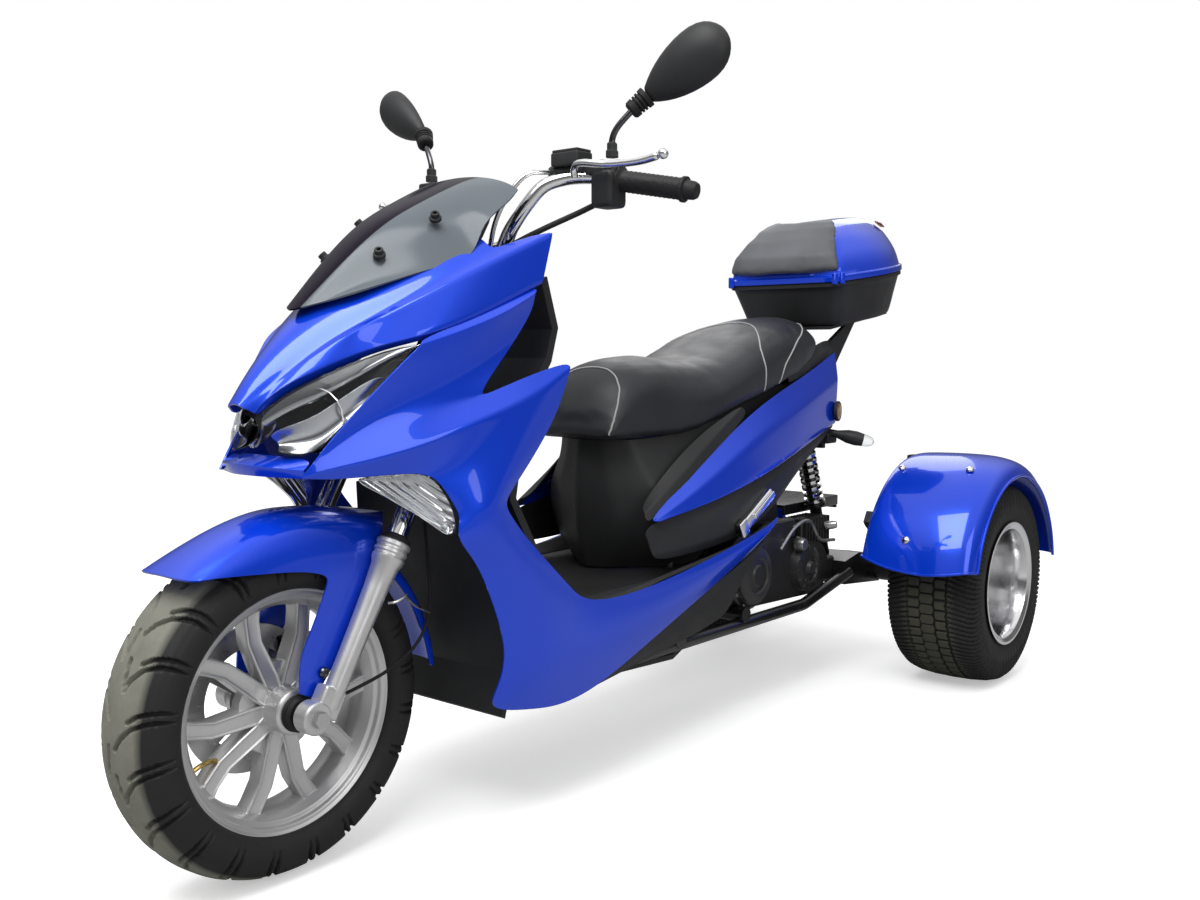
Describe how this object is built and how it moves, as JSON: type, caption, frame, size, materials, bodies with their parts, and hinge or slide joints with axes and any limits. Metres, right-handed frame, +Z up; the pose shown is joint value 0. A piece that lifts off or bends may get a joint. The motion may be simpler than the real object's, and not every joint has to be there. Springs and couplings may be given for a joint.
{
  "type": "motor trike",
  "caption": "Step-through motor trike with a steered front wheel, fendered rear wheels on a live axle, a hinged seat and a lidded top box.",
  "frame": {"origin": "on the ground, under the middle of the bounding box", "axes": "the trike faces -Y, +X is its own left side, +Z is up"},
  "size_m": [1.006, 2.1549, 1.2632],
  "materials": {
    "blue_plastic": "high gloss",
    "black_plastic": "fine grain",
    "black_rubber": "matt",
    "black_paint": "satin",
    "cast_black": "satin cast",
    "silver_paint": "satin metallic",
    "steel": "machined",
    "chrome": "polished",
    "aluminium": "polished",
    "tyre": "matt",
    "smoke_glass": "tinted",
    "lamp_glass": "clear",
    "red_lens": "clear red",
    "seat_vinyl": "grained vinyl",
    "grey_vinyl": "smooth vinyl"
  },
  "bodies": {
    "root": {"frame": "black_paint", "hood": "blue_plastic", "windscreen": "smoke_glass", "headlamps": "lamp_glass", "lower_cowl": "blue_plastic", "front_turn_lamps": "lamp_glass", "splash_guard": "black_plastic", "dash_panel": "black_plastic", "floorboard": "black_rubber", "belly_pan": "black_plastic", "seat_column": "black_plastic", "rear_side_panels": "blue_plastic", "lower_side_panels": "black_plastic", "passenger_pegs": "aluminium", "engine": "cast_black", "belt_case": "cast_black", "axle_carrier": "black_paint", "muffler": "black_paint", "shock_bodies": "black_paint", "shock_springs": "chrome", "rear_fenders": "blue_plastic", "rear_lamps": "red_lens", "luggage_rack": "black_plastic", "top_box_base": "black_plastic"},
    "steering": {"fork_legs": "silver_paint", "fork_stanchions": "chrome", "fork_yoke": "black_paint", "front_axle": "steel", "front_fender": "blue_plastic", "front_caliper": "steel", "handlebar": "chrome", "grips": "black_rubber", "bar_controls": "black_plastic", "brake_levers": "aluminium", "mirror_arms": "black_paint", "mirror_heads": "black_plastic"},
    "front_wheel": {"front_tyre": "tyre", "front_rim": "silver_paint", "front_disc": "steel"},
    "rear_axle": {"rear_axle": "steel", "rear_rims": "aluminium", "rear_tyres": "tyre"},
    "seat": {"seat": "seat_vinyl"},
    "top_box_lid": {"top_box_lid": "blue_plastic", "backrest_pad": "grey_vinyl"}
  },
  "joints": [
    {"name": "steering", "type": "hinge", "parent": "root", "child": "steering", "pos_m": [0, -0.814, 0.243], "axis": [0, 0.5, 0.866], "range_deg": [-35, 35]},
    {"name": "front_wheel_spin", "type": "hinge", "parent": "steering", "child": "front_wheel", "pos_m": [0, -0.836, 0.243], "axis": [1, 0, 0], "continuous": true},
    {"name": "rear_axle_spin", "type": "hinge", "parent": "root", "child": "rear_axle", "pos_m": [0, 0.794, 0.2295], "axis": [1, 0, 0], "continuous": true},
    {"name": "seat_hinge", "type": "hinge", "parent": "root", "child": "seat", "pos_m": [0, -0.196, 0.588], "axis": [1, 0, 0], "range_deg": [0, 55]},
    {"name": "lid_hinge", "type": "hinge", "parent": "root", "child": "top_box_lid", "pos_m": [0, 0.58463, 0.90886], "axis": [1, 0, 0], "range_deg": [0, 80]}
  ]
}
